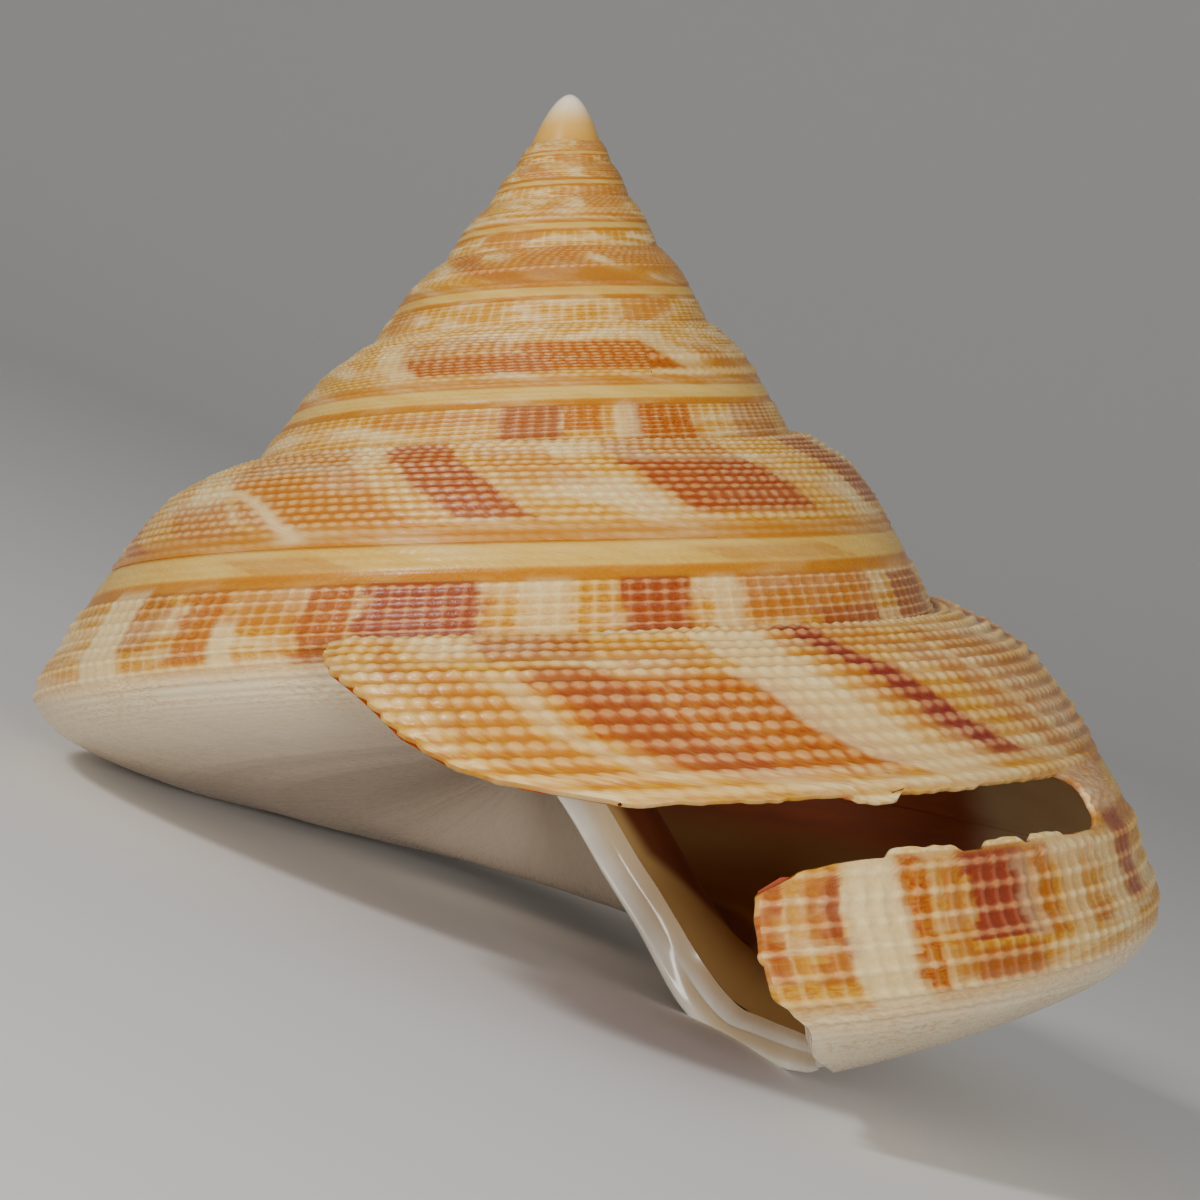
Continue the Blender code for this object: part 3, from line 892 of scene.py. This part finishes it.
def grown_noise():
    """Shader group: a noise texture over growth and place, each times its own count."""
    tree = bpy.data.node_groups.new("grown noise", "ShaderNodeTree")
    for name in ("Along", "Across", "Scale", "Detail", "Roughness"):
        tree.interface.new_socket(name, in_out="INPUT", socket_type="NodeSocketFloat")
    tree.interface.new_socket("Noise", in_out="OUTPUT", socket_type="NodeSocketFloat")
    n = Nodes(tree)
    given = tree.nodes.new("NodeGroupInput").outputs
    at = n.combine(n.times(n.field("growth"), given["Along"]), n.times(n.field("place"), given["Across"]))
    value = n.noise(at, given["Scale"], given["Detail"], given["Roughness"])
    n.put(tree.nodes.new("NodeGroupOutput").inputs["Noise"], value)
    return tree


GROWN_NOISE = grown_noise()

# Linear colours
CREAM = (0.80, 0.49, 0.13, 1.0)
PALE = (0.86, 0.68, 0.33, 1.0)
OCHRE = (0.60, 0.30, 0.006, 1.0)
DEEP_OCHRE = (0.48, 0.160, 0.001, 1.0)
ORANGE = (0.35, 0.045, 0.001, 1.0)
ORANGE_TOP = (0.58, 0.18, 0.025, 1.0)
RED = (0.22, 0.020, 0.010, 1.0)
RED_TOP = (0.42, 0.110, 0.06, 1.0)
PINK = (0.70, 0.28, 0.09, 1.0)
BAND_CREAM = (0.74, 0.48, 0.10, 1.0)
BASE_WHITE = (0.80, 0.66, 0.42, 1.0)
BASE_GREY = (0.60, 0.48, 0.36, 1.0)
BASE_TAN = (0.58, 0.34, 0.14, 1.0)
NACRE = (0.97, 0.92, 0.78, 1.0)
NACRE_TAN = (0.62, 0.42, 0.18, 1.0)
LINING_TAN = (0.68, 0.43, 0.15, 1.0)
LINING_DEEP = (0.60, 0.18, 0.08, 1.0)
# Pale of the painted light on the wall across from the slit's end, inside the hollow
SLIT_LIGHT_PALE = (0.97, 0.84, 0.52, 1.0)
OLD_FLAME = (0.48, 0.18, 0.01, 1.0)
STRIPE = (0.82, 0.62, 0.30, 1.0)
TIP_WHITE = (0.96, 0.86, 0.66, 1.0)
ROUGH_PALE = (0.84, 0.60, 0.32, 1.0)
SPECK = (0.10, 0.04, 0.01, 1.0)
NACRE_CLOUD = (0.86, 0.78, 0.62, 1.0)
LINING_STREAK = (0.50, 0.16, 0.08, 1.0)
# Painted shade deep in the hollow, and clouds in the painted light across from the slit's end
LINING_PAINTED_SHADE = (0.20, 0.050, 0.020, 1.0)
SLIT_LIGHT_CLOUD = (0.92, 0.74, 0.42, 1.0)


def new_material(name, roughness, coat, coat_roughness, specular):
    """A material with a Principled shader, and the short calls for its nodes."""
    material = bpy.data.materials.new(name)
    material.use_nodes = True
    shader = material.node_tree.nodes["Principled BSDF"]
    shader.inputs["Roughness"].default_value = roughness
    shader.inputs["Specular IOR Level"].default_value = specular
    shader.inputs["Coat Weight"].default_value = coat
    shader.inputs["Coat Roughness"].default_value = coat_roughness
    return material, shader, Nodes(material.node_tree)


def outer_material():
    """The whole outside: beaded face, band, and the paler base below the keel."""
    material, shader, n = new_material("shell outside", 0.36, 0.12, 0.2, 0.3)
    place, turn, crest, band = (n.field(name) for name in ("place", "turn", "crest", "band"))
    streaks = n.grown(60.0, 6.0, 6.0, 4.0, 0.6)
    blotch = n.grown(14.0, 5.0, 1.6)
    speckle = n.grown(190.0, 40.0, 2.2, 2.0)
    fine = n.grown(260.0, 20.0, 3.0)
    tops = n.ramp(crest, 0.12, 0.72)
    groove = n.math("SUBTRACT", 1.0, tops, True)

    # Ground: cream cords over ochre grooves, with pinkish streaks along the growth lines
    ground = n.mix(n.ramp(blotch, 0.40, 0.68), CREAM, PALE)
    ochre = n.mix(n.ramp(speckle, 0.35, 0.65), OCHRE, DEEP_OCHRE)
    in_groove = n.times(groove, n.ramp(blotch, 0.64, 0.40, 0.40, 1.0))
    ground = n.mix(in_groove, ground, ochre)
    pinkish = n.times(n.ramp(streaks, 0.47, 0.66), n.ramp(blotch, 0.40, 0.62, 0.25, 0.70))
    ground = n.mix(n.times(pinkish, n.ramp(groove, 0.0, 1.0, 1.0, 0.55)), ground, PINK)

    # The band, and the ochre lines on both sides of it
    old = n.ramp(turn, -0.09, -0.13)
    lines_up = n.times(n.ramp(place, 0.480, 0.510), n.ramp(place, 0.556, 0.544))
    lines_down = n.times(n.ramp(place, 0.628, 0.642), n.ramp(place, 0.695, 0.680))
    lines = n.times(n.math("ADD", lines_up, lines_down, True), n.ramp(blotch, 0.75, 0.35, 0.55, 0.95))
    ground = n.mix(n.times(band, n.ramp(streaks, 0.25, 0.60, 0.95, 0.65)), ground, BAND_CREAM)
    ground = n.mix(n.times(lines, old, 0.85), ground, DEEP_OCHRE)

    # Flames: deep in the grooves, paler on the beads, and golden on the oldest whorls
    deep = n.mix(n.ramp(speckle, 0.3, 0.7), ORANGE, DEEP_OCHRE)
    deep = n.mix(n.ramp(turn, -2.0, -2.6), deep, OLD_FLAME)
    warm = n.mix(groove, ORANGE_TOP, deep)
    broken = n.times(n.field("orange"), n.ramp(streaks, 0.30, 0.5, 0.70, 1.0))
    painted = n.mix(n.times(broken, n.ramp(groove, 0.0, 0.7, 0.62, 1.0)), ground, warm)
    brick = n.mix(groove, RED_TOP, RED)
    red = n.times(n.field("red"), n.ramp(speckle, 0.25, 0.6, 0.70, 1.0))
    painted = n.mix(n.times(red, n.ramp(groove, 0.0, 0.7, 0.66, 1.0)), painted, brick)

    # Bare shell: chipped edges of the slit, the scar and the tip
    by_slit = n.ramp(turn, -0.101, -0.09)
    chipped = n.times(n.ramp(place, 0.676, 0.668), n.ramp(place, 0.60, 0.62), n.ramp(turn, 0.0, -0.008))
    flake = n.times(n.ramp(place, 0.541, 0.546), n.ramp(place, 0.60, 0.58))
    bare = n.times(n.math("ADD", chipped, flake, True), by_slit)
    painted = n.mix(bare, painted, n.mix(n.ramp(speckle, 0.4, 0.6), CREAM, PALE))
    stripe = n.times(n.field("pale"), n.ramp(groove, 0.0, 1.0, 1.0, 0.86))
    painted = n.mix(stripe, painted, n.mix(n.ramp(streaks, 0.4, 0.6), PALE, STRIPE))
    painted = n.mix(n.ramp(turn, -6.7, -7.3, 0.0, 0.9), painted, TIP_WHITE)
    broken_off = n.times(n.ramp(turn, -0.145, -0.118), n.ramp(place, 0.52, 0.55), n.ramp(place, 0.66, 0.62))
    rough_end = n.mix(n.ramp(streaks, 0.38, 0.62), PINK, ROUGH_PALE)
    painted = n.mix(n.times(broken_off, n.ramp(turn, -0.06, -0.10, 0.0, 0.7)), painted, rough_end)

    # Base: cream with tan spots at the keel, then plain, greyer and smooth
    under = n.ramp(place, 1.04, 1.26)
    spots = n.times(n.ramp(speckle, 0.46, 0.60), n.ramp(place, 1.46, 1.22), n.ramp(blotch, 0.38, 0.58))
    white = n.mix(n.ramp(place, 1.20, 1.60), BASE_WHITE, BASE_GREY)
    white = n.mix(n.times(spots, 0.65), white, BASE_TAN)
    white = n.mix(n.times(n.field("orange"), 0.75), white, DEEP_OCHRE)
    white = n.mix(n.times(n.ramp(streaks, 0.52, 0.70), 0.22), white, BASE_TAN)
    painted = n.mix(under, painted, white)
    specks = n.ramp(n.grown(500.0, 90.0, 2.6, 1.0), 0.76, 0.80, 0.0, 0.55)
    n.put(shader.inputs["Base Color"], n.mix(specks, painted, SPECK))
    n.put(shader.inputs["Normal"], n.bump(fine, 0.00010, 0.5))
    n.put(shader.inputs["Roughness"], n.ramp(fine, 0.3, 0.7, 0.22, 0.42))
    return material


def nacre_material():
    """The columella and basal lip: across is the way over the edge, and rope is 1 on the columella's rope."""
    material, shader, n = new_material("shell columella", 0.24, 0.45, 0.08, 0.5)
    place, across, rope = n.field("place"), n.field("across"), n.field("rope")
    cloud = n.noise(n.combine(n.times(place, 14.0), across), 2.0, 3.0)
    tint = n.mix(n.ramp(cloud, 0.3, 0.7), NACRE, NACRE_CLOUD)
    inward = n.ramp(across, n.ramp(rope, 0.0, 1.0, 0.60, 0.36), n.ramp(rope, 0.0, 1.0, 1.0, 0.66))
    line = n.times(n.ramp(across, 0.28, 0.44), n.ramp(across, 0.60, 0.50), n.ramp(rope, 0.9, 0.2))
    tint = n.mix(n.times(inward, 0.75), tint, NACRE_TAN)
    # A darker tan line along the basal lip's groove: painted shade in the groove
    tint = n.mix(n.times(line, 0.7), tint, NACRE_TAN)
    n.put(shader.inputs["Base Color"], n.mix(n.ramp(place, 1.52, 1.40), tint, BASE_WHITE))
    n.put(shader.inputs["Normal"], n.bump(cloud, 0.00015, 0.4))
    return material


def lining_material():
    """Inside: tan just within the basal lip, reddish brown farther in and darkened as painted shade past the
    lowest ring, and pale as painted light from the slit on the wall across from the slit's end.
    """
    material, shader, n = new_material("shell lining", 0.34, 0.25, 0.15, 0.4)
    place, turn = n.field("place"), n.field("turn")
    cloud = n.grown(30.0, 8.0, 1.3)
    reach = n.math("ADD", n.math("SUBTRACT", 1.90, place, True), 0.018)
    near = n.ramp(n.math("SUBTRACT", n.field("depth"), reach), 0.014, -0.014)
    near = n.times(near, n.ramp(place, 1.25, 1.45))
    deep = n.mix(n.ramp(cloud, 0.35, 0.65), LINING_DEEP, LINING_STREAK)
    # Past the lowest ring the lining is darkened to near black: painted shade in the depth of the hollow
    deep = n.mix(n.ramp(place, 1.45, 1.70), deep, LINING_PAINTED_SHADE)
    # A pale patch on the far wall seen through the slit: painted light from the slit, with clouds in it
    slit_light = n.times(n.ramp(turn, -0.280, -0.258), n.ramp(place, 1.35, 1.15), n.ramp(turn, -0.09, -0.13))
    deep = n.mix(slit_light, deep, n.mix(n.ramp(cloud, 0.3, 0.7), SLIT_LIGHT_PALE, SLIT_LIGHT_CLOUD))
    rim = n.times(n.ramp(turn, -0.03, -0.005), n.ramp(place, 1.3, 1.1))
    deep = n.mix(rim, deep, ORANGE)
    tint = n.mix(near, deep, LINING_TAN)
    n.put(shader.inputs["Base Color"], tint)
    n.put(shader.inputs["Normal"], n.bump(cloud, 0.0001, 0.4))
    return material


# The shell's pieces

outside = outer_material()
nacre = nacre_material()
lining = lining_material()
wall_piece("whorl_above_slit", outside, ABOVE_GRID, 0.0, SLIT_TOP,
           lambda t: (np.zeros_like(t), slit_edge(t, True)), slit_rim=-1).make()
wall_piece("whorl_below_slit", outside, BELOW_GRID, SLIT_BOTTOM, KEEL_LINE,
           lambda t: (slit_edge(t, False), np.full_like(t, KEEL_LINE)), slit_rim=0).make()
wall_piece("base", outside, BASE_GRID, KEEL_LINE, 1.99,
           lambda t: (np.full_like(t, KEEL_LINE), np.full_like(t, 1.99)), lip_rim=False).make()
columella_piece(nacre).make()
band_piece(outside).make()
whole_turns("penultimate_whorl", outside, -2.0, -1.0, PENULTIMATE_GRID, 1.02).make()
whole_turns("spire", outside, -TURNS + LIP_TOP, -2.0, SPIRE_GRID, 1.01).make()
tip_piece(outside).make()
hollow_piece(lining).make()
old_base_piece(lining).make()

# Floor, light and camera

def shell_direction(x, y, z):
    """A direction in the shell's own axes, turned to the row frame."""
    return LEANING @ Vector((x, y, z))


def camera():
    """The photo's camera, level but for its small tilt and roll in the shell's own axes."""
    tilt_sin, tilt_cos = math.sin(CAMERA_TILT), math.cos(CAMERA_TILT)
    roll_sin, roll_cos = math.sin(CAMERA_ROLL), math.cos(CAMERA_ROLL)
    right = shell_direction(roll_cos, roll_sin * tilt_sin, roll_sin * tilt_cos)
    up = shell_direction(-roll_sin, roll_cos * tilt_sin, roll_cos * tilt_cos)
    ahead = shell_direction(0.0, tilt_cos, -tilt_sin)
    place = Vector(APEX_AT) + right * CAMERA_RIGHT + up * CAMERA_UP - ahead * CAMERA_BACK
    data = bpy.data.cameras.new("camera")
    data.sensor_width, data.lens = 36.0, LENS
    data.clip_start, data.clip_end = 0.01, 20.0
    cam = bpy.data.objects.new("camera", data)
    cam.matrix_world = Matrix.Translation(place * MM) @ Matrix((right, up, -ahead)).transposed().to_4x4()
    bpy.context.scene.collection.objects.link(cam)
    bpy.context.scene.camera = cam
    return right, up, ahead


def lamp(name, at, aim, size, power):
    """A round soft lamp that faces the given point."""
    data = bpy.data.lights.new(name, "AREA")
    data.shape, data.size, data.energy = "DISK", size, power
    placed_lamp = bpy.data.objects.new(name, data)
    placed_lamp.location = at
    placed_lamp.rotation_mode = "QUATERNION"
    placed_lamp.rotation_quaternion = (aim - at).to_track_quat("-Z", "Y")
    bpy.context.scene.collection.objects.link(placed_lamp)


def floor():
    """A pale floor that curves up far behind the shell: flat, a quarter circle, then upright."""
    bend = np.linspace(0.0, 0.5 * math.pi, 25)
    upright = FLOOR_BEND + FLOOR_RADIUS
    away = np.concatenate([[FLOOR_FRONT], FLOOR_BEND + FLOOR_RADIUS * np.sin(bend), [upright]])
    high = np.concatenate([[0.0], FLOOR_RADIUS - FLOOR_RADIUS * np.cos(bend), [FLOOR_TOP]])
    points = [(x, y, z) for y, z in zip(away, high) for x in (-FLOOR_HALF, FLOOR_HALF)]
    faces = [(2 * k, 2 * k + 1, 2 * k + 3, 2 * k + 2) for k in range(len(away) - 1)]
    data = bpy.data.meshes.new("floor")
    data.from_pydata(points, [], faces)
    data.polygons.foreach_set("use_smooth", np.ones(len(data.polygons), bool))
    ground = bpy.data.objects.new("floor", data)
    material = bpy.data.materials.new("floor")
    material.use_nodes = True
    shader = material.node_tree.nodes["Principled BSDF"]
    shader.inputs["Base Color"].default_value = (0.80, 0.79, 0.77, 1.0)
    shader.inputs["Roughness"].default_value = 0.9
    data.materials.append(material)
    bpy.context.scene.collection.objects.link(ground)


right, up, ahead = camera()
floor()
middle = Vector((0.0, 0.0, SHELL_MIDDLE))
for name, (x, y, z), size, power in LAMPS:
    lamp(name, middle + right * x + up * y + ahead * z, middle, size, power)
lamp("low front", Vector(LOW_LAMP[0]), middle, LOW_LAMP[1], LOW_LAMP[2])
world = bpy.data.worlds.new("studio")
world.use_nodes = True
world.node_tree.nodes["Background"].inputs[0].default_value = (0.80, 0.80, 0.80, 1.0)
world.node_tree.nodes["Background"].inputs[1].default_value = WORLD_LIGHT
bpy.context.scene.world = world
